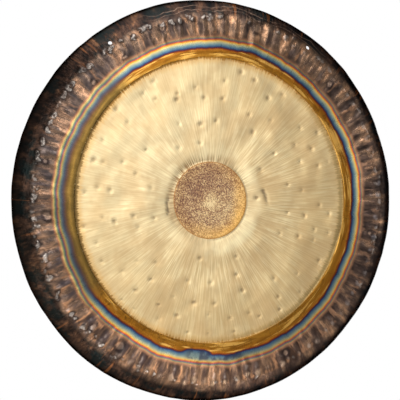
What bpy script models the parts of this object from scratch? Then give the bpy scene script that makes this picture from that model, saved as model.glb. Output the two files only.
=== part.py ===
"""A tam-tam gong: one hammered bronze plate whose rim is turned back, hung by two drilled holes.

Units are metres and +Z is up. The gong hangs upright, its struck face towards -Y. The world origin
is the middle of the straight line between the two hanging holes, where the gong is held up.
"""

import math

import bmesh
import bpy
from mathutils import Matrix, Vector

# Driving dimensions: the plate
RADIUS = 0.405
THICKNESS = 0.002
DOME_DEPTH = 0.0022  # how far the plate's shallow dome falls back between its middle and its rim
ROLL_START = 0.285  # radius where the plate starts to curl back into the rim
ROLL_DEPTH = 0.049  # how far the curl alone carries the rim back

# Driving dimensions: what the lathe cut away from the front
DISC_RADIUS = 0.078  # the middle disc that the lathe left alone
FACE_RADIUS = 0.288  # the outer edge of the lathed face
LATHE_CUT = 0.0003
LATHE_STEP_WIDTH = 0.0008  # radial width of the sloping step at each edge of the cut

# Driving dimensions: the two hanging holes
HOLE_DIAMETER = 0.0085
HOLE_DISTANCE = 0.378  # from the gong's axis, measured square to it
HOLE_ANGLE = math.radians(34.1)  # either side of straight up
HOLE_SIDES = 24
CUTTER_LENGTH = 0.03

# How finely the round shapes are divided
PLATE_SEGMENTS = 96
ROLL_STEPS = 14
FACE_RINGS = (0.150, 0.215)  # radii of the rings that carry the dome across the face
RING_CLEARANCE = 0.002  # no ring of the rim comes closer than this outside the face's edge
MERGE_DISTANCE = 0.00001
SHARP_ANGLE = math.radians(30.0)

BRONZE_COLOUR = (0.33, 0.20, 0.10, 1.0)
BRONZE_ROUGHNESS = 0.38


def start_empty():
    """Remove the objects that a new Blender file starts with."""
    for thing in list(bpy.data.objects):
        bpy.data.objects.remove(thing, do_unlink=True)


def bronze_material():
    """Hammered bronze, darkened by fire."""
    material = bpy.data.materials.new("bronze")
    material.use_nodes = True
    shader = material.node_tree.nodes["Principled BSDF"]
    shader.inputs["Base Color"].default_value = BRONZE_COLOUR
    shader.inputs["Metallic"].default_value = 1.0
    shader.inputs["Roughness"].default_value = BRONZE_ROUGHNESS
    return material


def roll_angle(radius):
    """Angle around the rim's quarter ellipse at a radius: 0 where it starts, 90 degrees at the edge."""
    along = (radius - ROLL_START) / (RADIUS - ROLL_START)
    return math.asin(min(max(along, 0.0), 1.0))


def plate_point(radius):
    """Radius and depth of the plate's front skin, before the lathe, and the unit normal out of its back.

    Depth grows towards the back. The skin is a shallow dome that runs into a quarter ellipse.
    """
    angle = roll_angle(radius)
    depth = DOME_DEPTH * (radius / RADIUS) ** 2 + ROLL_DEPTH * (1.0 - math.cos(angle))
    run = (RADIUS - ROLL_START) * math.cos(angle)
    dome_slope = 2.0 * DOME_DEPTH * radius / RADIUS**2
    fall = ROLL_DEPTH * math.sin(angle) + dome_slope * run
    normal = Vector((-fall, run)).normalized()
    return Vector((radius, depth)), normal


def roll_radii():
    """Radii that divide the rim's quarter ellipse evenly by angle."""
    width = RADIUS - ROLL_START
    return [ROLL_START + width * math.sin(step / ROLL_STEPS * math.pi / 2.0)
            for step in range(ROLL_STEPS + 1)]


def front_outline():
    """Points of the front from the axis to the rim's edge, with the lathe's cut across the face."""
    cut_start = DISC_RADIUS + LATHE_STEP_WIDTH
    cut_end = FACE_RADIUS - LATHE_STEP_WIDTH
    rim = [radius for radius in roll_radii() if radius < cut_end or radius > FACE_RADIUS + RING_CLEARANCE]
    radii = sorted([0.0, DISC_RADIUS, cut_start, *FACE_RINGS, cut_end, FACE_RADIUS, *rim])
    outline = []
    for radius in radii:
        point, back_normal = plate_point(radius)
        if cut_start <= radius <= cut_end:
            point = point + back_normal * LATHE_CUT
        outline.append(point)
    return outline


def back_outline():
    """Points of the back, one thickness behind the front, from the rim's edge in to the axis."""
    radii = sorted([0.0, *FACE_RINGS, *roll_radii()], reverse=True)
    outline = []
    for radius in radii:
        point, back_normal = plate_point(radius)
        outline.append(point + back_normal * THICKNESS)
    return outline


def plate_mesh():
    """Spin the outline once around the gong's axis, which is the mesh's own Y axis."""
    mesh = bpy.data.meshes.new("gong_plate")
    bm = bmesh.new()
    outline = [bm.verts.new((point.x, point.y, 0.0)) for point in front_outline() + back_outline()]
    edges = [bm.edges.new(pair) for pair in zip(outline, outline[1:])]
    bmesh.ops.spin(bm, geom=outline + edges, cent=(0.0, 0.0, 0.0), axis=(0.0, 1.0, 0.0),
                   dvec=(0.0, 0.0, 0.0), angle=2.0 * math.pi, steps=PLATE_SEGMENTS, use_merge=True)
    bmesh.ops.remove_doubles(bm, verts=bm.verts, dist=MERGE_DISTANCE)
    bmesh.ops.recalc_face_normals(bm, faces=bm.faces)
    bm.to_mesh(mesh)
    bm.free()
    mesh.shade_smooth()
    mesh.set_sharp_from_angle(angle=SHARP_ANGLE)
    return mesh


def hole_place(side):
    """Middle of a hanging hole and the direction it is drilled in, in the plate's own axes."""
    skin, back_normal = plate_point(HOLE_DISTANCE)
    middle = skin + back_normal * (THICKNESS / 2.0)
    outward = Vector((side * math.sin(HOLE_ANGLE), 0.0, math.cos(HOLE_ANGLE)))
    backward = Vector((0.0, 1.0, 0.0))
    place = outward * middle.x + backward * middle.y
    direction = outward * back_normal.x + backward * back_normal.y
    return place, direction


def hole_cutter(name, side, plate):
    """A cylinder square to the plate's skin, which cuts one hanging hole."""
    place, direction = hole_place(side)
    mesh = bpy.data.meshes.new(name)
    bm = bmesh.new()
    bmesh.ops.create_cone(bm, cap_ends=True, segments=HOLE_SIDES, radius1=HOLE_DIAMETER / 2.0,
                          radius2=HOLE_DIAMETER / 2.0, depth=CUTTER_LENGTH, matrix=Matrix.Identity(4))
    bm.to_mesh(mesh)
    bm.free()
    cutter = bpy.data.objects.new(name, mesh)
    bpy.context.scene.collection.objects.link(cutter)
    cutter.parent = plate
    cutter.location = place
    cutter.rotation_mode = "QUATERNION"
    cutter.rotation_quaternion = direction.to_track_quat("Z", "Y")
    cutter.hide_render = True
    cutter.display_type = "WIRE"
    return cutter


def drill(plate, cutter):
    """Cut a hole in the plate."""
    cut = plate.modifiers.new(cutter.name, "BOOLEAN")
    cut.operation = "DIFFERENCE"
    cut.solver = "EXACT"
    cut.object = cutter


def build_gong():
    """The whole object: one plate, placed so that its hanging line's middle is the world origin."""
    plate = bpy.data.objects.new("gong_plate", plate_mesh())
    plate.data.materials.append(bronze_material())
    bpy.context.scene.collection.objects.link(plate)
    hole, _ = hole_place(1.0)
    plate.location = (0.0, -hole.y, -hole.z)
    drill(plate, hole_cutter("left_hole_cutter", -1.0, plate))
    drill(plate, hole_cutter("right_hole_cutter", 1.0, plate))


start_empty()
build_gong()
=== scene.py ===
"""The looks of the tam-tam gong: one sheet of bronze, hammered, lathed and coloured by fire.

Metres, +Z up. The gong's axis runs along Y. A point of the plate is given by its radius from that
axis, and by its angle, which is 0 straight up and grows clockwise for someone facing the gong.
"""

import math

import bmesh
import bpy
import numpy as np
from mathutils import Matrix, Quaternion, Vector


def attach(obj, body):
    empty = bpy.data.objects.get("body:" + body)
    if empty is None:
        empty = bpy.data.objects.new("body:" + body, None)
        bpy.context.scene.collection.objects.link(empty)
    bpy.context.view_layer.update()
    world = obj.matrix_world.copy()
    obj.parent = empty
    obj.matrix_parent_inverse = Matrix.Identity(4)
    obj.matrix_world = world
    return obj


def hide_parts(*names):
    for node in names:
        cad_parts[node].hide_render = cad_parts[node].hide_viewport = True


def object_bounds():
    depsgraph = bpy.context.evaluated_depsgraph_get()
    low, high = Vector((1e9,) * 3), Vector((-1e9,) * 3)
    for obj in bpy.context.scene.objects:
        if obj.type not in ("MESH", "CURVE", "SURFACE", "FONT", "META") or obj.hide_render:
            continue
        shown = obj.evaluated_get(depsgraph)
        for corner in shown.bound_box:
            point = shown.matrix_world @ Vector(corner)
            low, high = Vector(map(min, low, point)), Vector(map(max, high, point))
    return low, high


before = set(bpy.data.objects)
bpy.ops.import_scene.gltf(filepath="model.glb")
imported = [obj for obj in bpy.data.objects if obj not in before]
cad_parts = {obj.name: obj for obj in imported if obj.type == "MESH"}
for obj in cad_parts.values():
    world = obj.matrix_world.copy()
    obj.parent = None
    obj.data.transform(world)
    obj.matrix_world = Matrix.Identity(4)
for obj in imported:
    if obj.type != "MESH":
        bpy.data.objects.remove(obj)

cad_low, cad_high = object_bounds()

TAU = 2.0 * math.pi

# The plate's shape, as in the CAD model
RADIUS = (cad_high.x - cad_low.x) / 2.0
AXIS = Vector((0.0, cad_low.y, (cad_low.z + cad_high.z) / 2.0))  # the middle of the front
THICKNESS = 0.002
DOME_DEPTH = 0.0022
ROLL_START = 0.285  # where the plate starts to curl back into the rim
ROLL_DEPTH = cad_high.y - cad_low.y - DOME_DEPTH
DISC_RADIUS = 0.078  # the middle disc that the lathe left alone
FACE_RADIUS = 0.288  # the outer edge of the lathed face
LATHE_CUT = 0.0003
LATHE_STEP_WIDTH = 0.0008
HOLE_DIAMETER = 0.0085
HOLE_DISTANCE = 0.378
HOLE_ANGLE = math.radians(34.1)  # either side of straight up

# Zones that the hammer left, by radius
DISH_DEPTH = 0.0020  # the middle lies a little deeper than the face around it
DISH_START, DISH_END = 0.050, 0.108
SHOULDER_START, SHOULDER_END = 0.326, 0.366
RIDGE_RADIUS, RIDGE_WIDTH = 0.3705, 0.006
FLANGE_START, FLANGE_FADE = 0.378, 0.010  # the outer face of the rim

# How high the sheet waves, and how high or deep each kind of mark is
FACE_WAVE, RIM_WAVE, FLANGE_WAVE = 0.00080, 0.00045, 0.00080
FACE_RIPPLE, FLANGE_RIPPLE = 0.00022, 0.00045
FACE_DENT_DEPTH, SHOULDER_DENT_DEPTH = 0.00110, 0.00180
CREASE_DEPTH = 0.00070
STROKE_HEIGHT, PILLOW_HEIGHT, KNUCKLE_HEIGHT = 0.00060, 0.00240, 0.0014
RIDGE_HEIGHT, LUMP_HEIGHT = 0.0003, 0.0020
BULGE_HEIGHT, PEEN_DEPTH = 0.0008, 0.0006

# How finely the plate is divided
DISC_SEGMENTS = 112  # doubled at each of the radii below
DOUBLING_RADII = (0.080, 0.160, 0.289)
DISC_RING_GAP = 0.0045
INNER_RING_GAP = 0.0032
FACE_RING_GAP = 0.0028
RIM_RING_GAP = 0.00245
BACK_RING_GAP = 0.0080
BACK_RIM_RING_GAP = BACK_RING_GAP * 0.6
PROFILE_STEPS = 2000  # for measuring along the curled skin
SAME_RADIUS = 1e-9  # radii closer than this are one ring
HOLE_SIDES = 48
CUTTER_LENGTH = 0.02
SHARP_ANGLE = math.radians(50.0)


# ---------------------------------------------------------------- noise and marks

def smooth(values):
    """Ease from 0 to 1, clipped at both ends."""
    clipped = np.clip(values, 0.0, 1.0)
    return clipped * clipped * (3.0 - 2.0 * clipped)


def between_points(lattice, row, column):
    """A lattice's value at places between its points. Its last column joins its first."""
    r0 = np.floor(row).astype(int)
    c0 = np.floor(column).astype(int)
    fr = smooth(row - r0)
    fc = smooth(column - c0)
    rows, columns = lattice.shape
    r0 = np.clip(r0, 0, rows - 2)
    c0, c1 = c0 % columns, (c0 + 1) % columns
    near = lattice[r0, c0] * (1.0 - fc) + lattice[r0, c1] * fc
    far = lattice[r0 + 1, c0] * (1.0 - fc) + lattice[r0 + 1, c1] * fc
    return near * (1.0 - fr) + far * fr


NOISE_REACH = RADIUS * 1.1


def ring_noise(radius, angle, around, gap, seed):
    """Smooth noise from -1 to 1 that closes on itself.

    It has that many cells around the circle, and a cell reaches over that gap in radius.
    """
    rows = math.ceil(NOISE_REACH / gap) + 2
    lattice = np.random.default_rng(seed).uniform(-1.0, 1.0, (rows, around))
    return between_points(lattice, radius / gap, (angle / TAU % 1.0) * around)


def sheet_noise(radius, angle, cell, seed):
    """Smooth noise from -1 to 1 over the sheet, with square cells of that size."""
    half = math.ceil(NOISE_REACH / cell) + 1
    lattice = np.random.default_rng(seed).uniform(-1.0, 1.0, (2 * half + 1, 2 * half + 1))
    across, up = (radius * turn(angle) / cell + half for turn in (np.cos, np.sin))
    return between_points(lattice, across, up)


def band(radius, start, end, blur):
    """1 between two radii, fading to 0 over the blur at both."""
    return smooth((radius - start) / blur + 0.5) * smooth((end - radius) / blur + 0.5)


def on_face(radius):
    """1 on the lathed face, fading to 0 at its edges."""
    return band(radius, DISC_RADIUS + 0.004, FACE_RADIUS, 0.006)


def on_flange(radius):
    """1 on the rim's outer face, fading to 0 at the ridge."""
    return smooth((radius - FLANGE_START) / FLANGE_FADE)


def warped(radius, angle, push=0.0022):
    """The same places pushed a little to and fro, so that round marks come out uneven."""
    out = push * ring_noise(radius, angle, around=260, gap=0.008, seed=61)
    across = push * ring_noise(radius, angle, around=260, gap=0.008, seed=62)
    return radius + out, angle + across / np.maximum(radius, 0.01)


def scattered(rows, width, seed, jitter_radius, jitter_angle, keep):
    """Marks (radius, angle, width, strength) in rows around the axis, all a little out of line.

    Each row is (radius, count).
    """
    dice = np.random.default_rng(seed)
    marks = []
    for radius, count in rows:
        start = dice.uniform(0.0, TAU)
        for step in range(count):
            offset_r = dice.normal(0.0, jitter_radius)
            offset_a = dice.normal(0.0, jitter_angle) * TAU / count
            size = width * dice.uniform(0.75, 1.25)
            strength = dice.uniform(0.5, 1.0)
            if dice.uniform() < keep:
                marks.append((radius + offset_r, start + step * TAU / count + offset_a, size, strength))
    return marks


def dents(radius, angle, marks, stretch=1.0):
    """Round hollows at the marks, as deep at their middles as each mark's strength."""
    x, z = radius * np.sin(angle), radius * np.cos(angle)
    depth = np.zeros_like(radius)
    for mark_radius, mark_angle, width, strength in marks:
        near = np.abs(radius - mark_radius) < width * 3.0 * stretch
        if not near.any():
            continue
        sin, cos = math.sin(mark_angle), math.cos(mark_angle)
        dx, dz = x[near] - mark_radius * sin, z[near] - mark_radius * cos
        along = (dx * sin + dz * cos) / stretch
        across = dx * cos - dz * sin
        hollow = strength * np.exp(-(along**2 + across**2) / (0.5 * width) ** 2)
        depth[near] = np.maximum(depth[near], hollow)
    return depth


FACE_DENT_WIDTH = 0.0085
FACE_DENT_ROWS = [(0.265, 30), (0.238, 27), (0.206, 24), (0.163, 17), (0.122, 11)]
DISC_PIT = (0.100, math.radians(86.0), FACE_DENT_WIDTH, 1.0)  # the small pit beside the middle disc
FACE_DENTS = scattered(FACE_DENT_ROWS, FACE_DENT_WIDTH, 11, jitter_radius=0.005, jitter_angle=0.2,
                       keep=0.85) + [DISC_PIT]
SHOULDER_DENTS = [(radius, math.radians(degrees), width, 1.0) for radius, degrees, width in (
    (0.363, 16.0, 0.026), (0.351, 47.0, 0.016), (0.356, 100.0, 0.015), (0.350, 151.0, 0.017),
    (0.354, 223.0, 0.019), (0.347, 212.0, 0.024), (0.344, 264.0, 0.022), (0.355, 282.0, 0.013),
    (0.341, 313.0, 0.018), (0.339, 327.0, 0.014), (0.361, 343.0, 0.017),
)]
RIDGE_LUMPS = scattered([(0.3700, 150)], 0.0125, 13, jitter_radius=0.0030, jitter_angle=0.35, keep=0.85)
PILLOWS = scattered([(0.3520, 96)], 0.0165, 17, jitter_radius=0.0030, jitter_angle=0.13, keep=1.0)
KNUCKLES = [(radius + 0.0140, angle, 0.78 * width, strength) for radius, angle, width, strength in PILLOWS]
BULGE_SPREAD = 2.2  # how much wider a dent shows on the back
BULGES = [(radius, angle, BULGE_SPREAD * width, strength) for radius, angle, width, strength in FACE_DENTS]
PEEN_MARKS = scattered([(0.030 * row, 9 * row) for row in range(1, 13)], 0.028, 15,
                       jitter_radius=0.004, jitter_angle=0.15, keep=0.95)
CREASES = (  # radius and angle where it starts, radius and angle where it ends, width
    (0.093, math.radians(250.0), 0.090, math.radians(279.0), 0.0050),
    (0.115, math.radians(76.0), 0.125, math.radians(96.0), 0.0065),
)


def face_marks(radius, angle):
    """Depth of the punched dents in the lathed face, from 0 to 1."""
    return dents(radius, angle, FACE_DENTS)


def shoulder_marks(radius, angle):
    """Depth of the few round dents in the shoulder, from 0 to 1."""
    return dents(*warped(radius, angle), SHOULDER_DENTS)


def strokes(radius, angle):
    """The radial hammer strokes over the shoulder, from -1 in a hollow to 1 on a crest."""
    radius, angle = warped(radius, angle, 0.0040)
    wide = ring_noise(radius, angle, around=110, gap=0.045, seed=31)
    narrow = ring_noise(radius, angle, around=260, gap=0.022, seed=32)
    return 0.65 * wide + 0.35 * narrow


def ridge_lumps(radius, angle):
    """The uneven lumps along the ridge, from 0 to 1. They stand highest on the gong's left."""
    lumps = dents(*warped(radius, angle, 0.0038), RIDGE_LUMPS)
    leftward = 0.88 + 0.24 * np.cos(angle - math.radians(290.0))
    patchy = 0.30 * ring_noise(radius, angle, around=46, gap=0.200, seed=35)
    return np.clip(lumps * (leftward + patchy), 0.0, 1.0)


def pillows(radius, angle):
    """The swellings around the shoulder, left standing between the hammer's blows, from 0 to 1."""
    return dents(*warped(radius, angle), PILLOWS, stretch=2.1)


def knuckles(radius, angle):
    """The knob at each swelling's outer end, from 0 to 1."""
    return dents(*warped(radius, angle), KNUCKLES, stretch=1.3)


def creases(radius, angle):
    """Short grooves beaten in around the disc, 1 deep at their middles."""
    depth = np.zeros_like(radius)
    radius, angle = warped(radius, angle)
    for start, first, end, last, width in CREASES:
        along = (angle - first) / (last - first)
        at = start + (end - start) * along
        fade = smooth((angle - first) * start / width) * smooth((last - angle) * end / (3.0 * width))
        depth = np.maximum(depth, fade * np.exp(-((radius - at) / (0.5 * width)) ** 2))
    return depth


def peening(radius, angle):
    """The round hammer blows all over the back, from 0 between them to 1 in their middles."""
    return dents(radius, angle, PEEN_MARKS)


def waves(radius, angle):
    """How far the whole sheet waves towards the front, from the plain profile."""
    rim = smooth((radius - FACE_RADIUS) / 0.03)
    height = FACE_WAVE * on_face(radius) * sheet_noise(radius, angle, cell=0.046, seed=41)
    height += RIM_WAVE * rim * ring_noise(radius, angle, around=40, gap=0.040, seed=42)
    height += FLANGE_WAVE * on_flange(radius) * ring_noise(radius, angle, around=22, gap=0.060, seed=44)
    return height


def shoulder_relief(radius, angle):
    """How far the hammer moved the shoulder's skin towards the front."""
    shoulder = band(radius, SHOULDER_START, SHOULDER_END, 0.016)
    relief = STROKE_HEIGHT * strokes(radius, angle) + PILLOW_HEIGHT * pillows(radius, angle)
    return shoulder * relief - SHOULDER_DENT_DEPTH * shoulder_marks(radius, angle)


def front_height(radius, angle):
    """How far the hammer and the lathe moved the front skin, outwards from the plain profile."""
    half_step = LATHE_STEP_WIDTH / 2
    cut = band(radius, DISC_RADIUS + half_step, FACE_RADIUS - half_step, LATHE_STEP_WIDTH)
    face = on_face(radius)
    ridge = np.exp(-((radius - RIDGE_RADIUS) / RIDGE_WIDTH) ** 2)
    height = waves(radius, angle) + shoulder_relief(radius, angle) - LATHE_CUT * cut
    height -= FACE_DENT_DEPTH * face * face_marks(radius, angle)
    height -= CREASE_DEPTH * creases(radius, angle)
    height += FACE_RIPPLE * face * sheet_noise(radius, angle, cell=0.019, seed=45)
    height += (ridge * RIDGE_HEIGHT + LUMP_HEIGHT * ridge_lumps(radius, angle)
               + KNUCKLE_HEIGHT * knuckles(radius, angle))
    height += FLANGE_RIPPLE * on_flange(radius) * ring_noise(radius, angle, around=120, gap=0.016, seed=43)
    return height


def back_height(radius, angle):
    """How far the hammer moved the back skin, along the direction out of the back."""
    height = BULGE_HEIGHT * dents(radius, angle, BULGES) - PEEN_DEPTH * peening(radius, angle)
    return height - waves(radius, angle) - shoulder_relief(radius, angle)


# ---------------------------------------------------------------- the plate's mesh

def skin(radius):
    """Depth behind the middle of the front, and the unit normal out of the back as (radial, backward)."""
    along = np.clip((radius - ROLL_START) / (RADIUS - ROLL_START), 0.0, 1.0)
    fall = np.sqrt(1.0 - along**2)
    depth = DOME_DEPTH * (radius / RADIUS) ** 2 + ROLL_DEPTH * (1.0 - fall)
    depth = depth + DISH_DEPTH * (1.0 - smooth((radius - DISH_START) / (DISH_END - DISH_START)))
    run = (RADIUS - ROLL_START) * fall
    drop = ROLL_DEPTH * along + 2.0 * DOME_DEPTH * radius / RADIUS**2 * run
    length = np.hypot(drop, run)
    return depth, -drop / length, run / length


def spaced(start, end, gap):
    """Radii from start to end, about a gap apart, without the end."""
    count = max(1, round(abs(end - start) / gap))
    return [start + (end - start) * step / count for step in range(count)]


def roll_radii(start, gap):
    """Radii from start to the rim's edge, about a gap apart along the curled skin."""
    first = math.asin(max(0.0, (start - ROLL_START) / (RADIUS - ROLL_START)))
    angles = first + (math.pi / 2.0 - first) * np.linspace(0.0, 1.0, PROFILE_STEPS + 1)
    r = ROLL_START + (RADIUS - ROLL_START) * np.sin(angles)
    d = ROLL_DEPTH * (1.0 - np.cos(angles))
    run = np.concatenate([[0.0], np.cumsum(np.hypot(np.diff(r), np.diff(d)))])
    count = round(run[-1] / gap)
    return list(np.interp(np.linspace(0.0, run[-1], count + 1), run, r))


def front_radii():
    """Radii of the front's rings, closer where the hammer marks are smaller."""
    disc = spaced(DISC_RING_GAP, DISC_RADIUS, DISC_RING_GAP)
    step_in = [DISC_RADIUS, DISC_RADIUS + LATHE_STEP_WIDTH]
    inner = spaced(step_in[1] + INNER_RING_GAP, DOUBLING_RADII[1], INNER_RING_GAP)
    step_out = FACE_RADIUS - LATHE_STEP_WIDTH
    outer = spaced(DOUBLING_RADII[1], step_out, FACE_RING_GAP)
    return disc + step_in + inner + outer + [step_out] + roll_radii(FACE_RADIUS, RIM_RING_GAP)


def back_radii():
    """Radii of the back's rings inside the rim's edge, from there in to the middle."""
    rim = roll_radii(FACE_RADIUS, BACK_RIM_RING_GAP)[:0:-1]
    return rim[1:] + spaced(FACE_RADIUS, 0.0, BACK_RING_GAP)


def segments_at(radius):
    """How many segments a ring at a radius has."""
    doublings = sum(radius >= limit - SAME_RADIUS for limit in DOUBLING_RADII)
    return DISC_SEGMENTS * 2**doublings


class Rings:
    """Collects rings of points around the axis, and the faces between them."""

    def __init__(self):
        self.points = []
        self.faces = []
        self.zones = []
        self.total = 0

    def add_ring(self, radius, count, back):
        """Add a ring to the front or back skin, and return its first point's number and its count."""
        angle = np.arange(count) * TAU / count
        r = np.full(count, radius)
        depth, out_r, out_y = skin(r)
        height = THICKNESS + back_height(r, angle) if back else -front_height(r, angle)
        reach = r + out_r * height
        place = np.stack([reach * np.sin(angle), depth + out_y * height, reach * np.cos(angle)], axis=1)
        return self._add_points(place), count

    def add_point(self, depth):
        """Add a point on the axis, and return its number."""
        return self._add_points(np.array([[0.0, depth, 0.0]]))

    def join(self, inner, outer, zone):
        """Faces from one ring to the next. The next may have the same count, double it or half of it."""
        a, n = inner
        b, m = outer
        if n == m:
            for i in range(n):
                j = (i + 1) % n
                self._face((a + i, a + j, b + j, b + i), zone)
        elif m == 2 * n:
            for i in range(n):
                j = (i + 1) % n
                low, mid, high = b + 2 * i, b + 2 * i + 1, b + (2 * i + 2) % m
                self._face((a + i, mid, low), zone)
                self._face((a + i, a + j, mid), zone)
                self._face((a + j, high, mid), zone)
        else:
            for i in range(m):
                j = (i + 1) % m
                low, mid, high = a + 2 * i, a + 2 * i + 1, a + (2 * i + 2) % n
                self._face((low, mid, b + i), zone)
                self._face((mid, b + j, b + i), zone)
                self._face((mid, high, b + j), zone)

    def fan(self, point, ring, zone, back):
        """Faces from a point on the axis to the ring around it."""
        first, count = ring
        for i in range(count):
            j = (i + 1) % count
            corners = (point, first + i, first + j) if back else (point, first + j, first + i)
            self._face(corners, zone)

    def _add_points(self, places):
        first = self.total
        self.points.append(places)
        self.total += len(places)
        return first

    def _face(self, corners, zone):
        self.faces.append(corners)
        self.zones.append(zone)


ZONE_DISC, ZONE_FACE, ZONE_RIM, ZONE_BACK = range(4)


def front_zone(radius):
    """Which material the band of faces outside a ring takes."""
    if radius < DISC_RADIUS - SAME_RADIUS:
        return ZONE_DISC
    return ZONE_FACE if radius < FACE_RADIUS - SAME_RADIUS else ZONE_RIM


def plate_mesh():
    """The whole plate as one closed skin: the front out to the rim, the cut edge, and the back."""
    rings = Rings()
    centre = rings.add_point(DISH_DEPTH)
    last, last_radius = None, 0.0
    for radius in front_radii():
        ring = rings.add_ring(radius, segments_at(radius), back=False)
        if last is None:
            rings.fan(centre, ring, ZONE_DISC, back=False)
        else:
            rings.join(last, ring, front_zone(last_radius))
        last, last_radius = ring, radius
    edge = rings.add_ring(RADIUS, last[1], back=True)
    rings.join(last, edge, ZONE_RIM)
    last = edge
    for radius in back_radii():
        count = max(segments_at(radius) // 2, last[1] // 2, DISC_SEGMENTS)
        ring = rings.add_ring(radius, count, back=True)
        rings.join(last, ring, ZONE_BACK)
        last = ring
    middle = rings.add_point(DISH_DEPTH + THICKNESS)
    rings.fan(middle, last, ZONE_BACK, back=True)
    mesh = bpy.data.meshes.new("bronze_plate")
    mesh.from_pydata(np.concatenate(rings.points).tolist(), [], rings.faces)
    mesh.polygons.foreach_set("material_index", rings.zones)
    mesh.validate()
    mesh.update()
    return mesh


def hole_frame(side):
    """Middle of a hanging hole, and the direction it is drilled in, in the frame."""
    depth, out_r, out_y = (float(part[0]) for part in skin(np.array([HOLE_DISTANCE])))
    outward = Vector((side * math.sin(HOLE_ANGLE), 0.0, math.cos(HOLE_ANGLE)))
    backward = Vector((0.0, 1.0, 0.0))
    drill = outward * out_r + backward * out_y
    place = outward * HOLE_DISTANCE + backward * depth + drill * (THICKNESS / 2.0)
    return AXIS + place, drill


def hole_cutter(side):
    """A rod through the plate where a hanging hole goes."""
    place, drill = hole_frame(side)
    turn = drill.to_track_quat("Z", "Y").to_matrix().to_4x4()
    mesh = bpy.data.meshes.new("hole_cutter")
    bm = bmesh.new()
    bmesh.ops.create_cone(bm, cap_ends=True, segments=HOLE_SIDES, radius1=HOLE_DIAMETER / 2.0,
                          radius2=HOLE_DIAMETER / 2.0, depth=CUTTER_LENGTH,
                          matrix=Matrix.Translation(place) @ turn)
    bm.to_mesh(mesh)
    bm.free()
    mesh.polygons.foreach_set("material_index", [ZONE_RIM] * len(mesh.polygons))
    cutter = bpy.data.objects.new("hole_cutter", mesh)
    bpy.context.scene.collection.objects.link(cutter)
    return cutter


def cut_holes(plate):
    """Drill the two hanging holes through the plate."""
    for side in (-1.0, 1.0):
        cutter = hole_cutter(side)
        cut = plate.modifiers.new("hole", "BOOLEAN")
        cut.operation = "DIFFERENCE"
        cut.solver = "EXACT"
        cut.object = cutter
        bpy.context.view_layer.update()
        drilled = bpy.data.meshes.new_from_object(plate.evaluated_get(bpy.context.evaluated_depsgraph_get()))
        plate.modifiers.clear()
        undrilled, plate.data = plate.data, drilled
        rod = cutter.data
        bpy.data.objects.remove(cutter)
        bpy.data.meshes.remove(undrilled)
        bpy.data.meshes.remove(rod)


MARKS = {  # the marks that the materials need to know about
    "face_mark": face_marks, "shoulder_mark": shoulder_marks, "stroke": strokes, "pillow": pillows,
    "crease": creases, "lump": ridge_lumps, "knuckle": knuckles, "peen": peening,
}


def store_places(mesh):
    """Give each point its place from the axis, and how deep in a hammer mark it lies, for the materials."""
    flat = np.zeros(len(mesh.vertices) * 3)
    mesh.vertices.foreach_get("co", flat)
    place = flat.reshape(-1, 3) - np.array(AXIS)
    radius = np.hypot(place[:, 0], place[:, 2])
    angle = np.arctan2(place[:, 0], place[:, 2]) % TAU
    from_axis = mesh.attributes.new("from_axis", "FLOAT_VECTOR", "POINT")
    from_axis.data.foreach_set("vector", place.ravel())
    for name, marks in MARKS.items():
        stored = mesh.attributes.new(name, "FLOAT", "POINT")
        stored.data.foreach_set("value", marks(radius, angle))


# ---------------------------------------------------------------- material nodes

def srgb(red, green, blue):
    """A colour given the way screens show it, from 0 to 255, as linear light."""
    def linear(value):
        part = value / 255.0
        return part / 12.92 if part <= 0.04045 else ((part + 0.055) / 1.055) ** 2.4
    return linear(red), linear(green), linear(blue)


class Value:
    """A number that varies over the surface. Adding and multiplying it adds math nodes."""

    def __init__(self, nodes, socket):
        self.nodes = nodes
        self.socket = socket

    def __add__(self, other):
        return self.nodes.math("ADD", self, other)

    def __sub__(self, other):
        return self.nodes.math("SUBTRACT", self, other)

    def __mul__(self, other):
        return self.nodes.math("MULTIPLY", self, other)


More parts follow.
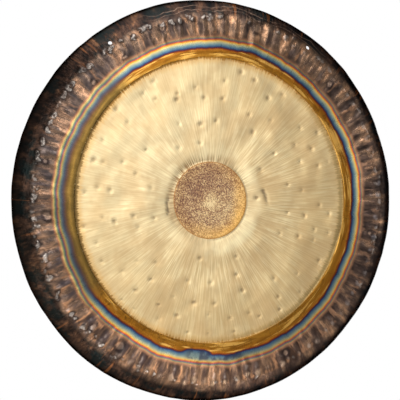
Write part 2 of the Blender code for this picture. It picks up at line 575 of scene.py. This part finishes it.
class Nodes:
    """Short ways to add shader nodes to a material and wire them up."""

    def __init__(self, name):
        self.material = bpy.data.materials.new(name)
        self.material.use_nodes = True
        self.tree = self.material.node_tree
        self.shader = self.tree.nodes["Principled BSDF"]

    def add(self, kind, **settings):
        node = self.tree.nodes.new(kind)
        for key, value in settings.items():
            setattr(node, key, value)
        return node

    def put(self, socket, value):
        """Wire an output into a socket, or set a plain value on it."""
        source = value.socket if isinstance(value, Value) else value
        if isinstance(source, bpy.types.NodeSocket):
            self.tree.links.new(source, socket)
        else:
            socket.default_value = source

    def put_all(self, sockets, values):
        for socket, value in zip(sockets, values):
            self.put(socket, value)

    def math(self, operation, *values):
        node = self.add("ShaderNodeMath", operation=operation)
        self.put_all(node.inputs, values)
        return Value(self, node.outputs[0])

    def vector(self, operation, *vectors, scale=None):
        node = self.add("ShaderNodeVectorMath", operation=operation)
        self.put_all(node.inputs, vectors)
        if scale is not None:
            self.put(node.inputs["Scale"], scale)
        if operation in ("LENGTH", "DOT_PRODUCT"):
            return Value(self, node.outputs["Value"])
        return node.outputs[0]

    def steps(self, value, low, high, bottom=0.0, top=1.0):
        """Ease from the bottom number to the top one as the value goes from low to high."""
        node = self.add("ShaderNodeMapRange", interpolation_type="SMOOTHSTEP")
        self.put_all(node.inputs, (value, low, high, bottom, top))
        return Value(self, node.outputs[0])

    def noise(self, vector, scale=1.0, detail=2.0, roughness=0.5):
        node = self.add("ShaderNodeTexNoise")
        names = ("Vector", "Scale", "Detail", "Roughness")
        self.put_all([node.inputs[name] for name in names], (vector, scale, detail, roughness))
        return Value(self, node.outputs["Fac"])

    def cells(self, vector, scale):
        """A number from 0 to 1 for each small cell."""
        node = self.add("ShaderNodeTexVoronoi")
        self.put_all((node.inputs["Vector"], node.inputs["Scale"]), (vector, scale))
        return self.math("MULTIPLY", node.outputs["Color"], 1.0)

    def between(self, amount, first, second):
        """The first number where the amount is 0, and the second where it is 1."""
        node = self.add("ShaderNodeMix", data_type="FLOAT")
        self.put_all((node.inputs["Factor"], node.inputs[2], node.inputs[3]), (amount, first, second))
        return Value(self, node.outputs[0])

    def ramp(self, value, stops):
        """Colours along a value. Each stop is (position, colour), the colour from 0 to 255."""
        node = self.add("ShaderNodeValToRGB")
        bar = node.color_ramp
        while len(bar.elements) < len(stops):
            bar.elements.new(1.0)
        for element, (position, colour) in zip(bar.elements, stops):
            element.position = position
            element.color = (*srgb(*colour), 1.0)
        self.put(node.inputs[0], value)
        return node.outputs["Color"]

    def mix(self, amount, first, second):
        """The first colour where the amount is 0, and the second where it is 1."""
        node = self.add("ShaderNodeMix", data_type="RGBA")
        self.put(node.inputs["Factor"], amount)
        for socket, value in ((node.inputs[6], first), (node.inputs[7], second)):
            self.put(socket, (*srgb(*value), 1.0) if isinstance(value, tuple) else value)
        return node.outputs[2]

    def layered(self, colour, *layers):
        """The colour with each layer of (amount, colour) laid over it in turn."""
        for amount, laid_over in layers:
            colour = self.mix(amount, colour, laid_over)
        return colour

    def bump(self, height, strength, distance):
        node = self.add("ShaderNodeBump")
        self.put_all([node.inputs[name] for name in ("Height", "Strength", "Distance")],
                     (height, strength, distance))
        return node.outputs[0]


class PlateNodes(Nodes):
    """Nodes that know where they are on the gong: the radius, and the direction from the axis."""

    def __init__(self, name):
        super().__init__(name)
        self.place = self.attribute("from_axis").outputs["Vector"]
        flat = self.vector("MULTIPLY", self.place, (1.0, 0.0, 1.0))
        self.radius = self.vector("LENGTH", flat)
        self.around = self.vector("NORMALIZE", flat)

    def attribute(self, name):
        return self.add("ShaderNodeAttribute", attribute_name=name)

    def mark(self, name):
        """How deep in one of the marks a point lies."""
        return Value(self, self.attribute(name).outputs["Fac"])

    def streaks(self, fineness, length, detail=2.0, roughness=0.5, seed=0.0, sway=0.0):
        """Noise drawn out along the radius: how fine it is across, how long, and how far it wanders."""
        across = self.vector("SCALE", self.around, scale=fineness)
        if sway:
            push = self.noise(self.place, scale=SWAY_SCALE) * (2.0 * sway * fineness)
            across = self.vector("ADD", across, self.vector("SCALE", SWAY_DIRECTION, scale=push))
        along = self.add("ShaderNodeCombineXYZ")
        self.put(along.inputs["Y"], self.radius * (1.0 / length) + seed)
        return self.noise(self.vector("ADD", across, along.outputs[0]), detail=detail, roughness=roughness)

    def towards(self, degrees):
        """The cosine of how far around the gong a point is from that angle."""
        angle = math.radians(degrees)
        return self.vector("DOT_PRODUCT", self.around, (math.sin(angle), 0.0, math.cos(angle)))

    def side(self, degrees, power=1.0):
        """1 on the side of the gong that lies at that angle, 0 on the far side."""
        return self.math("POWER", self.towards(degrees) * 0.5 + 0.5, power)

    def near(self, degrees, reach, full=0.0):
        """1 up to so many degrees from that angle, and 0 beyond the reach."""
        return self.steps(self.towards(degrees), math.cos(math.radians(reach)), math.cos(math.radians(full)))

    def ring(self, start, end, blur):
        """1 between two radii, fading to 0 over the blur outside them."""
        return self.steps(self.radius, start - blur, start) * self.steps(self.radius, end + blur, end)

    def torn_radius(self):
        """The radius, pushed out and in as the lathe's torn edge around the face is."""
        return self.streaks(110.0, 0.040, detail=1.0, seed=15.0) * 0.016 + self.radius


SWAY_SCALE = 42.0
SWAY_DIRECTION = (0.6, 0.0, 0.8)
EDGE_TINT = (0.35, 0.35, 0.35, 1.0)  # how much the metal shines where it turns away from the eye


def finish_metal(nodes, colour, roughness, normal):
    """Wire a bronze surface up to its shader."""
    inputs = nodes.shader.inputs
    inputs["Metallic"].default_value = 1.0
    inputs["Specular Tint"].default_value = EDGE_TINT
    nodes.put(inputs["Base Color"], colour)
    nodes.put(inputs["Roughness"], roughness)
    nodes.put(inputs["Normal"], normal)
    return nodes.material


# ---------------------------------------------------------------- the disc and the face

SPECKLE = [(0.38, (106, 74, 68)), (0.54, (154, 114, 92)), (0.68, (196, 156, 112)),
           (0.86, (244, 218, 166))]
GOLDEN_SPECKLE = [(0.35, (190, 124, 56)), (0.80, (244, 194, 112))]
FACE_GOLDS = [(0.32, (230, 201, 149)), (0.50, (242, 217, 166)), (0.66, (249, 229, 181))]


def raw_disc_material():
    """The middle disc: fire scale rubbed down to a fine speckle of purple-brown and gold."""
    nodes = PlateNodes("raw_disc")
    grain = nodes.noise(nodes.place, scale=340.0, detail=3.0, roughness=0.7)
    cloud = nodes.noise(nodes.place, scale=28.0, detail=3.0, roughness=0.6)
    warm = nodes.side(128.0, 2.0)
    middle = nodes.steps(grain * 0.016 + nodes.radius, 0.032, 0.012)
    lift = (cloud - 0.5) * 0.30 + (warm * 0.10 + middle * 0.19)
    speck = nodes.cells(nodes.place, 620.0) * 0.45 + grain * 0.75 + lift
    golden = nodes.steps(cloud * 0.030 + nodes.radius, 0.058, 0.090) * (warm * 0.85 + 0.12)
    line = nodes.steps(nodes.radius, DISC_RADIUS - 0.0025, DISC_RADIUS - 0.0005, top=0.70)
    colour = nodes.layered(
        nodes.ramp(speck, SPECKLE),
        (golden, nodes.ramp(speck, GOLDEN_SPECKLE)),
        (line, (186, 120, 50)),
    )
    roughness = nodes.steps(speck, 0.4, 0.8, 0.50, 0.34)
    return finish_metal(nodes, colour, roughness, nodes.bump(speck, 0.35, 0.0005))


def scraped_rays(nodes):
    """The lathe's fine scraping along the radius, kept about equally fine from the disc to the edge."""
    near = nodes.streaks(62.0, 0.040, detail=1.0, roughness=0.7)
    middle = nodes.streaks(108.0, 0.040, detail=1.0, roughness=0.7, seed=5.0)
    far = nodes.streaks(160.0, 0.045, detail=1.0, roughness=0.7, seed=9.0)
    rays = nodes.between(nodes.steps(nodes.radius, 0.105, 0.145), near, middle)
    return nodes.between(nodes.steps(nodes.radius, 0.175, 0.230), rays, far)


def wide_rays(nodes):
    """The wider, softer rays between the fine ones."""
    inner = nodes.streaks(56.0, 0.060, detail=0.0, seed=7.0)
    outer = nodes.streaks(112.0, 0.060, detail=0.0, seed=8.0)
    return nodes.between(nodes.steps(nodes.radius, 0.130, 0.200), inner, outer)


def face_gold(nodes, rays, wide):
    """The face's gold, deeper towards its edge, with painted highlights beside the disc on its lower right
    and over the face's upper left, and a painted shadow just outside the disc on its left.
    """
    cloud = nodes.noise(nodes.place, scale=16.0, detail=3.0, roughness=0.6)
    # Painted highlight beside the disc on its lower right, and painted shadow just outside it on its left.
    disc_highlight = nodes.steps(nodes.radius, 0.118, 0.104, top=0.55) * nodes.side(120.0)
    disc_shadow = nodes.steps(nodes.radius, 0.100, 0.084, top=0.60) * nodes.side(275.0, 8.0)
    return nodes.layered(
        nodes.ramp(rays, FACE_GOLDS),
        (nodes.steps(wide, 0.54, 0.46, top=0.44), (202, 166, 114)),
        (nodes.steps(nodes.radius, 0.140, 0.242, top=0.42), (212, 182, 128)),
        (disc_highlight, (255, 240, 194)),
        (disc_shadow, (140, 110, 74)),
        # Painted highlight over the face's upper left.
        (nodes.side(305.0, 2.0) * 0.40, (246, 230, 186)),
        (nodes.steps(cloud, 0.40, 0.64, top=0.42), (208, 170, 118)),
    )


def with_face_marks(nodes, gold, scraped):
    """Brown scraping around the disc, brown dents deepened with painted shade, and painted shade in the
    creases.
    """
    return nodes.layered(
        gold,
        (scraped * 0.80, (140, 98, 56)),
        # The dents' own brown middles, darkened further with painted shade.
        (nodes.steps(nodes.mark("face_mark"), 0.15, 0.85, top=0.60), (124, 98, 70)),
        # Painted shade in the creases.
        (nodes.mark("crease") * 0.75, (104, 88, 72)),
    )


def with_torn_edge(nodes, gold):
    """The face's ragged outer edge, where the amber of the tinted ring shows through. On the gong's left the
    amber reaches further in and turns browner: painted shade.
    """
    # Painted shade: on the gong's left the dark amber reaches further in over the face, and is browner.
    left = nodes.side(272.0, 6.0)
    torn = left * 0.0036 + nodes.torn_radius()
    wear_and_glint = nodes.steps(torn, 0.2830, 0.2900) * nodes.side(108.0, 3.0) * 0.70
    return nodes.layered(
        gold,
        (nodes.steps(torn, 0.2800, 0.2920, top=0.55), (222, 172, 98)),
        (nodes.steps(torn, 0.2914, 0.2952, top=0.85), nodes.mix(left, (180, 124, 52), (112, 88, 46))),
        (wear_and_glint, (138, 122, 82)),
    )


def lathed_face_material():
    """The pale gold face, scraped bright along the radius."""
    nodes = PlateNodes("lathed_face")
    rays, wide = scraped_rays(nodes), wide_rays(nodes)
    scratch = nodes.streaks(46.0, 0.050, roughness=0.6, seed=3.0)
    scraped = nodes.steps(scratch, 0.56, 0.44) * nodes.steps(nodes.radius, 0.100, 0.082)
    scraped = scraped * (nodes.side(320.0, 2.0) * 0.75 + 0.25)
    colour = with_face_marks(nodes, face_gold(nodes, rays, wide), scraped)
    height = scraped * -0.5 + (wide * 0.3 + rays)
    return finish_metal(nodes, with_torn_edge(nodes, colour), nodes.steps(rays, 0.3, 0.7, 0.38, 0.30),
                        nodes.bump(height, 0.12, 0.0006))


# ---------------------------------------------------------------- the rim

# Colours of the oxide film across the tinted ring, from the face's edge outwards
TINT_WIDTH = 0.050
TINT_STOPS = [
    (0.00, (136, 93, 34)), (0.08, (170, 117, 41)), (0.18, (152, 100, 32)),
    (0.28, (176, 114, 38)), (0.33, (152, 82, 31)), (0.355, (122, 53, 25)),
    (0.380, (86, 48, 50)), (0.405, (50, 54, 88)), (0.44, (66, 91, 122)),
    (0.49, (97, 126, 140)), (0.55, (140, 158, 146)), (0.61, (200, 190, 140)),
    (0.655, (240, 192, 92)), (0.70, (240, 136, 54)), (0.73, (190, 90, 76)),
    (0.755, (142, 98, 116)), (0.79, (116, 134, 112)), (0.82, (180, 144, 102)),
    (0.86, (178, 128, 98)), (0.96, (142, 108, 86)),
]
DULL_TINT_STOPS = [  # duller, darker colours, used on the left of the gong
    (0.00, (84, 65, 33)), (0.09, (98, 76, 36)), (0.19, (138, 107, 52)),
    (0.28, (114, 86, 45)), (0.34, (102, 74, 50)), (0.42, (84, 70, 70)),
    (0.49, (76, 82, 94)), (0.56, (104, 118, 112)), (0.62, (166, 150, 92)),
    (0.66, (188, 132, 84)), (0.69, (150, 94, 98)), (0.74, (94, 108, 108)),
    (0.78, (136, 150, 114)), (0.83, (222, 188, 118)), (0.90, (204, 136, 98)),
    (1.00, (148, 110, 88)),
]
COPPERS = [(0.38, (58, 49, 46)), (0.46, (102, 83, 73)), (0.55, (162, 128, 102)),
           (0.64, (238, 182, 140))]
PATINAS = [(0.34, (26, 28, 28)), (0.48, (58, 44, 38)), (0.60, (96, 70, 56)),
           (0.72, (150, 106, 76))]
CONTOUR_STARTS = (0.3935, 0.4005)


class RimNodes(PlateNodes):
    """Nodes of the rim, with the noises and the sides of the gong that its colours share."""

    def __init__(self, name):
        super().__init__(name)
        self.film = self.film_place()
        self.broad = self.streaks(15.0, 0.070, roughness=0.6, seed=11.0, sway=0.012)
        self.middle = self.streaks(38.0, 0.040, roughness=0.6, seed=12.0, sway=0.008)
        self.fine = self.streaks(110.0, 0.030, roughness=0.6, seed=13.0, sway=0.004)
        self.cloud = self.noise(self.place, scale=38.0, detail=3.0, roughness=0.65)
        self.top = self.side(0.0, 4.0)
        self.right = self.side(95.0, 4.0)
        self.left = self.side(255.0, 4.0)
        self.low_left = self.side(218.0, 5.0)

    def film_place(self):
        """How far out in the tinted ring a point lies, from 0 to 1, with the heat's wandering taken in."""
        wander = self.noise(self.vector("SCALE", self.around, scale=2.4), detail=1.0)
        ripple = self.noise(self.vector("SCALE", self.around, scale=9.0))
        swirl = self.near(184.0, 7.0) * self.steps(self.radius, 0.322, 0.306)
        inward = self.side(142.0, 8.0) * -0.0050 + self.side(178.0, 14.0) * -0.0042
        inward = inward + (wander - 0.5) * -0.012 + (ripple - 0.5) * -0.009 + swirl * 0.009
        inward = inward * self.steps(self.radius, 0.2885, 0.304)
        return (self.radius + inward - FACE_RADIUS) * (1.0 / TINT_WIDTH)


def tinted_ring(nodes):
    """The heat's colours, from amber at the face's edge to blue, yellow and orange."""
    film = nodes.film
    inside = nodes.steps(film, 0.36, 0.30)  # the amber, inside the blue
    drawn = nodes.streaks(20.0, 0.016, seed=6.0, sway=0.012)
    smudge = nodes.near(177.0, 13.0, full=8.0) * nodes.steps(drawn, 0.60, 0.42)
    smudge = smudge * (nodes.steps(film, 0.66, 0.56) * nodes.steps(film, 0.30, 0.38)) * 0.80
    shade = nodes.steps(film, 0.40, 0.52) * nodes.steps(film, 0.84, 0.72) * nodes.side(165.0, 12.0) * 0.50
    flow = nodes.streaks(7.0, 0.0080, roughness=0.6, seed=2.0)
    dark = nodes.steps(flow, 0.52, 0.34, top=0.60) * inside
    flecks = nodes.noise(nodes.place, scale=70.0, detail=3.0, roughness=0.7)
    burnt = nodes.steps(flecks, 0.52, 0.66) * nodes.side(250.0, 2.0) * 0.8 * inside
    smear = nodes.streaks(4.0, 0.0065, roughness=0.6, seed=4.0)
    glow = nodes.steps(smear, 0.52, 0.62, top=0.90) * inside
    tint = nodes.layered(
        nodes.ramp(film, TINT_STOPS),
        (smudge, (50, 54, 78)),
        (shade, (74, 78, 86)),
        (dark, (118, 72, 22)),
        (burnt, (92, 58, 20)),
        (glow, (230, 176, 88)),
    )
    dull = nodes.mix(dark, nodes.ramp(film, DULL_TINT_STOPS), (92, 74, 40))
    pale = nodes.steps(nodes.torn_radius(), 0.2956, 0.2934, top=0.50) * nodes.side(310.0)
    return nodes.layered(tint, (nodes.near(277.0, 52.0, full=38.0), dull), (pale, (236, 206, 148)))


def copper_tone(nodes):
    """How light the hammered copper is, around 0.5."""
    # The strokes' crests are a little lighter and their hollows darker: partly painted highlight and shade.
    tone = nodes.broad * 0.50 + nodes.middle * 0.32 + nodes.cloud * 0.18 + nodes.mark("stroke") * 0.05
    # Painted shade on the gong's right; the copper is also a little lighter towards the top right.
    tone = tone + nodes.side(100.0, 5.0) * -0.08 + nodes.side(30.0, 6.0) * 0.03
    return tone + nodes.steps(nodes.radius, 0.330, 0.366, -0.01, 0.02)


def hammered_copper(nodes, tone):
    """Copper brown in radial bars, greyer on the gong's left and warmer at its bottom."""
    return nodes.layered(
        nodes.ramp(tone, COPPERS),
        (nodes.steps(nodes.fine, 0.50, 0.34, top=0.25), (70, 58, 52)),
        (nodes.side(285.0, 3.0) * 0.24, (98, 102, 108)),
        (nodes.side(185.0, 4.0) * 0.20, (104, 62, 36)),
    )


def with_swellings(nodes, copper):
    """Bright copper between the swellings, the swellings darkened with painted shade, and a painted
    highlight on their tops.
    """
    pillow = nodes.mark("pillow")
    shoulder = nodes.ring(0.340, 0.368, 0.008)
    gap = nodes.steps(pillow, 0.26, 0.10) * shoulder * nodes.steps(nodes.middle, 0.44, 0.60, 0.05, 0.65)
    gap = gap * (nodes.low_left * 0.45 + 1.0)
    dull = nodes.math("MAXIMUM", nodes.right, nodes.side(285.0, 4.0))
    # The swellings painted dark grey-purple, most on the lower left: partly the metal's own darker colour,
    # partly painted shade.
    swelling_shade = nodes.steps(pillow, 0.20, 0.70) * nodes.steps(nodes.broad, 0.62, 0.40, 0.08, 0.48) * shoulder
    swelling_shade = swelling_shade * (nodes.low_left * 0.90 + 1.0)
    # Painted highlight on the swellings' tops.
    gleam = nodes.steps(pillow, 0.62, 0.92) * nodes.steps(nodes.cloud, 0.42, 0.56)
    gleam = gleam * (nodes.low_left * 0.65 + 0.10)
    return nodes.layered(
        copper,
        (gap, nodes.mix(dull, (228, 166, 120), (160, 122, 98))),
        (swelling_shade, nodes.mix(nodes.left, (100, 80, 72), (88, 78, 82))),
        (gleam, (216, 198, 188)),
    )


def with_knobs_and_dents(nodes, copper):
    """Painted highlights on the knobs at the swellings' ends, and on the round dents a painted highlight in
    the middle and a ring of painted shade around it.
    """
    # Painted highlight on each knob, brightest at the gong's bottom.
    knob_highlight = nodes.steps(nodes.mark("knuckle"), 0.25, 0.90) * (nodes.side(165.0, 2.0) * 0.65 + 0.20)
    knob_highlight = knob_highlight * nodes.steps(nodes.middle, 0.38, 0.54, 0.35, 1.0)
    cold = nodes.math("MAXIMUM", nodes.right, nodes.left)
    dent = nodes.mark("shoulder_mark")
    # Painted shade on the dents' walls, a dark ring around each middle.
    dent_shade = nodes.steps(dent, 0.08, 0.35) * nodes.steps(dent, 0.80, 0.50)
    dent_shade = dent_shade * nodes.steps(nodes.cloud, 0.38, 0.54, 0.30, 0.80)
    return nodes.layered(
        copper,
        (knob_highlight, nodes.mix(cold, (252, 206, 162), (186, 180, 184))),
        # Painted highlight in each dent's middle.
        (nodes.steps(dent, 0.50, 0.90, top=0.40), (188, 158, 136)),
        (dent_shade, (58, 48, 46)),
    )


def with_ridge(nodes, copper):
    """The broken ridge, darker on its outer side, with painted shadows around its lumps and painted glints
    on top of them.
    """
    lump = nodes.mark("lump")
    ridge = nodes.steps(nodes.radius, 0.358, 0.366) * nodes.steps(nodes.cloud, 0.36, 0.50) * 0.25
    # Painted shadow around each lump, strongest on the gong's left.
    lump_shadow = nodes.steps(lump, 0.0, 0.34) * nodes.steps(nodes.cloud, 0.62, 0.46, 0.30, 0.85)
    lump_shadow = lump_shadow * nodes.steps(nodes.side(290.0), 0.10, 0.80, 0.15, 1.0)
    crumbs = nodes.noise(nodes.place, scale=130.0)
    # Painted glints on top of the lumps.
    wear_and_glint = nodes.steps(lump, 0.30, 0.60) * nodes.steps(crumbs, 0.38, 0.54)
    wear_and_glint = wear_and_glint * (nodes.side(265.0) * 0.60 + 0.28)
    return nodes.layered(copper, (ridge, (66, 58, 54)), (lump_shadow, (46, 38, 36)), (wear_and_glint, (204, 192, 182)))


def with_patina(nodes, colour):
    """The outer face's black patina, with green-black mould and copper veins, over a ragged border; darker
    still on the gong's right, as painted shade.
    """
    soot = nodes.streaks(17.0, 0.034, detail=3.0, roughness=0.7, seed=17.0, sway=0.008)
    mould = nodes.noise(nodes.place, scale=22.0, detail=4.0, roughness=0.7)
    vein = nodes.streaks(30.0, 0.120, seed=19.0, sway=0.006)
    patina = nodes.layered(
        nodes.ramp(soot, PATINAS),
        (nodes.steps(mould, 0.50, 0.62, top=0.80), (30, 42, 42)),
        (nodes.steps(vein, 0.64, 0.72, top=0.75), (158, 100, 62)),
        (nodes.left * 0.45, (24, 24, 20)),
        # Painted shade on the gong's right, where the rim turns away.
        (nodes.side(105.0, 3.0) * 0.75, (26, 29, 32)),
        (nodes.top * 0.30, (44, 43, 44)),
    )
    border = soot * 0.018 + nodes.radius
    border = nodes.side(125.0, 3.0) * -0.007 + border
    border = nodes.side(290.0, 1.5) * 0.0075 + border
    return nodes.mix(nodes.steps(border, 0.380, 0.396), colour, patina)


def with_contours(nodes, colour):
    """Two thin, broken lines that wander around the outer face at the gong's top."""
    wandering = nodes.noise(nodes.place, scale=24.0) * 0.020 + nodes.radius
    broken = nodes.near(10.0, 36.0, full=20.0) * nodes.steps(nodes.cloud, 0.42, 0.54, 0.25, 0.70)
    for start in CONTOUR_STARTS:
        line = nodes.steps(wandering, start, start + 0.0008)
        line = line * nodes.steps(wandering, start + 0.0022, start + 0.0010)
        colour = nodes.mix(line * broken, colour, (136, 112, 96))
    return colour


def fired_rim_material():
    """From the tinted ring out: interference colours, hammered copper brown, then black patina."""
    nodes = RimNodes("fired_rim")
    tone = copper_tone(nodes)
    copper = hammered_copper(nodes, tone)
    for add_marks in (with_swellings, with_knobs_and_dents, with_ridge):
        copper = add_marks(nodes, copper)
    browned = nodes.top * nodes.ring(0.326, 0.340, 0.006) * 0.35
    colour = nodes.layered(
        tinted_ring(nodes),
        (nodes.steps(nodes.film, 0.84, 1.00), copper),
        (browned, (72, 52, 38)),
    )
    colour = with_contours(nodes, with_patina(nodes, colour))
    colour = nodes.mix(nodes.steps(nodes.radius, 0.398, 0.404, top=0.7), colour, (22, 20, 18))
    on_lumps = nodes.steps(nodes.mark("lump"), 0.2, 0.7)
    roughness = nodes.between(on_lumps, nodes.steps(tone, 0.36, 0.66, 0.32, 0.22), 0.22)
    height = nodes.fine * 0.6 + nodes.noise(nodes.place, scale=170.0)
    height = height * nodes.steps(nodes.film, 0.80, 1.60, bottom=0.05)
    return finish_metal(nodes, colour, roughness, nodes.bump(height, 0.5, 0.0014))


# ---------------------------------------------------------------- the back

BACK_BROWNS = [(0.40, (86, 66, 56)), (0.54, (116, 88, 68)), (0.68, (148, 114, 84)),
               (0.84, (184, 148, 110))]


def dark_back_material():
    """The back: hammered all over and left as the fire darkened it."""
    nodes = PlateNodes("dark_back")
    cloud = nodes.noise(nodes.place, scale=11.0, detail=4.0, roughness=0.6)
    stain = nodes.noise(nodes.place, scale=60.0, detail=3.0, roughness=0.7)
    soot = nodes.streaks(34.0, 0.050, roughness=0.6, seed=23.0, sway=0.010)
    tone = (soot - 0.5) * 0.06 + cloud
    tone = (stain - 0.5) * 0.10 + tone
    tone = nodes.mark("peen") * 0.22 + tone
    blued = nodes.steps(nodes.radius, 0.262, 0.286) * nodes.steps(nodes.radius, 0.330, 0.300) * 0.45
    colour = nodes.layered(
        nodes.ramp(tone, BACK_BROWNS),
        (blued, (74, 78, 92)),
        (nodes.steps(nodes.radius, 0.330, 0.395, top=0.7), (44, 36, 34)),
    )
    return finish_metal(nodes, colour, nodes.steps(stain, 0.35, 0.65, 0.32, 0.24),
                        nodes.bump(stain * 0.4 + cloud, 0.12, 0.002))


# ---------------------------------------------------------------- the piece

def build_plate():
    """The bronze plate: shape, holes, marks and materials."""
    mesh = plate_mesh()
    mesh.transform(Matrix.Translation(AXIS))
    for make in (raw_disc_material, lathed_face_material, fired_rim_material, dark_back_material):
        mesh.materials.append(make())
    piece = bpy.data.objects.new("bronze_plate", mesh)
    bpy.context.scene.collection.objects.link(piece)
    cut_holes(piece)
    store_places(piece.data)
    piece.data.shade_smooth()
    piece.data.set_sharp_from_angle(angle=SHARP_ANGLE)
    return piece


# ---------------------------------------------------------------- studio

CAMERA_AZIMUTH = math.radians(-19.6)
CAMERA_ROLL = math.radians(0.95)
CAMERA_DISTANCE = 14.0
SENSOR_WIDTH = 36.0
FRAME_WIDTH = 0.8064  # width of what the camera sees at the gong
AIM_RIGHT = -0.0206  # the middle of the view, measured from the gong's middle
AIM_UP = 0.0004
FLOOR_DROP = 0.50  # the floor's distance below the rim
FLOOR_RADIUS = 4.0
FLOOR_COLOUR = (0.80, 0.79, 0.77, 1.0)
AMBIENT = 0.36  # brightness of the even light from all round

SOFTBOXES = (  # name, azimuth, elevation, distance, size, brightness
    ("key", 9.0, 9.0, 3.0, (1.0, 1.3), 2.25),
    ("left", -45.0, 6.0, 3.0, (1.0, 2.0), 1.6),
    ("overhead", 5.0, 55.0, 3.0, (2.2, 1.2), 1.5),
    ("right", 72.0, 5.0, 3.0, (0.8, 2.0), 0.8),
    ("low", 10.0, -38.0, 1.25, (0.4, 0.3), 0.8),
    ("ceiling", 0.0, 88.0, 3.4, (4.0, 4.0), 1.2),
    ("back_left", -140.0, 5.0, 3.0, (0.8, 1.6), 2.2),
    ("back_right", 140.0, -4.0, 3.0, (0.7, 1.4), 2.6),
    ("back", 180.0, -4.0, 3.0, (1.1, 0.8), 1.5),
)
GLINTS = (  # small square softboxes for the hammer marks: name, places, distance, width, brightness
    ("glint", ((-16.0, 10.0), (12.0, 32.0), (48.0, 6.0), (15.0, -22.0), (-30.0, 35.0)), 2.2, 0.42, 2.2),
    ("low_glint", ((-50.0, -63.0), (25.0, -63.0), (70.0, -63.0)), 0.92, 0.14, 2.6),
    ("left_glint", ((-38.0, -43.0), (-62.0, -34.0)), 1.25, 0.20, 3.0),
)


def add_camera():
    """A long lens to the left of the gong's axis, level with its middle."""
    data = bpy.data.cameras.new("camera")
    data.sensor_width = SENSOR_WIDTH
    data.lens = SENSOR_WIDTH * CAMERA_DISTANCE / FRAME_WIDTH
    camera = bpy.data.objects.new("camera", data)
    bpy.context.scene.collection.objects.link(camera)
    back = Vector((math.sin(CAMERA_AZIMUTH), -math.cos(CAMERA_AZIMUTH), 0.0))
    right = Vector((math.cos(CAMERA_AZIMUTH), math.sin(CAMERA_AZIMUTH), 0.0))
    camera.location = AXIS + back * CAMERA_DISTANCE + right * AIM_RIGHT + Vector((0.0, 0.0, AIM_UP))
    camera.rotation_mode = "QUATERNION"
    roll = Quaternion((0.0, 0.0, 1.0), CAMERA_ROLL)
    camera.rotation_quaternion = (-back).to_track_quat("-Z", "Y") @ roll
    bpy.context.scene.camera = camera


def add_floor():
    """A plain pale floor, wide enough for the light to bounce off it."""
    bpy.ops.mesh.primitive_circle_add(vertices=96, radius=FLOOR_RADIUS, fill_type="NGON",
                                      location=(0.0, 0.0, cad_low.z - FLOOR_DROP))
    floor = bpy.context.object
    floor.name = "floor"
    material = bpy.data.materials.new("floor")
    material.use_nodes = True
    shader = material.node_tree.nodes["Principled BSDF"]
    shader.inputs["Base Color"].default_value = FLOOR_COLOUR
    shader.inputs["Roughness"].default_value = 0.9
    floor.data.materials.append(material)


def softbox(name, azimuth, elevation, distance, size, brightness):
    """An area light, aimed at the gong from that side (azimuth 0 is straight in front).

    A brightness of 1 looks pure white in a mirror.
    """
    a, e = math.radians(azimuth), math.radians(elevation)
    towards = Vector((math.sin(a) * math.cos(e), -math.cos(a) * math.cos(e), math.sin(e)))
    data = bpy.data.lights.new(name, "AREA")
    data.shape = "RECTANGLE"
    data.size, data.size_y = size
    data.energy = brightness * math.pi * size[0] * size[1]
    light = bpy.data.objects.new(name, data)
    bpy.context.scene.collection.objects.link(light)
    light.location = AXIS + towards * distance
    light.rotation_mode = "QUATERNION"
    light.rotation_quaternion = towards.to_track_quat("Z", "Y")
    light.visible_camera = False


def add_world():
    """White behind the gong, and a dimmer even light from all round."""
    world = bpy.data.worlds.new("studio")
    world.use_nodes = True
    bpy.context.scene.world = world
    tree = world.node_tree
    background = tree.nodes["Background"]
    background.inputs["Color"].default_value = (1.0, 1.0, 1.0, 1.0)
    path = tree.nodes.new("ShaderNodeLightPath")
    strength = tree.nodes.new("ShaderNodeMapRange")
    tree.links.new(path.outputs["Is Camera Ray"], strength.inputs["Value"])
    strength.inputs["To Min"].default_value = AMBIENT
    strength.inputs["To Max"].default_value = 1.0
    tree.links.new(strength.outputs[0], background.inputs["Strength"])


def add_lights():
    """Large soft lights for the broad tones, and small ones for glints in the hammer marks."""
    for settings in SOFTBOXES:
        softbox(*settings)
    for name, places, distance, width, brightness in GLINTS:
        for azimuth, elevation in places:
            softbox(name, azimuth, elevation, distance, (width, width), brightness)


add_camera()
plate = build_plate()
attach(plate, "root")
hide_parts("gong_plate")
add_floor()
add_world()
add_lights()
bpy.context.scene.view_settings.view_transform = "Standard"
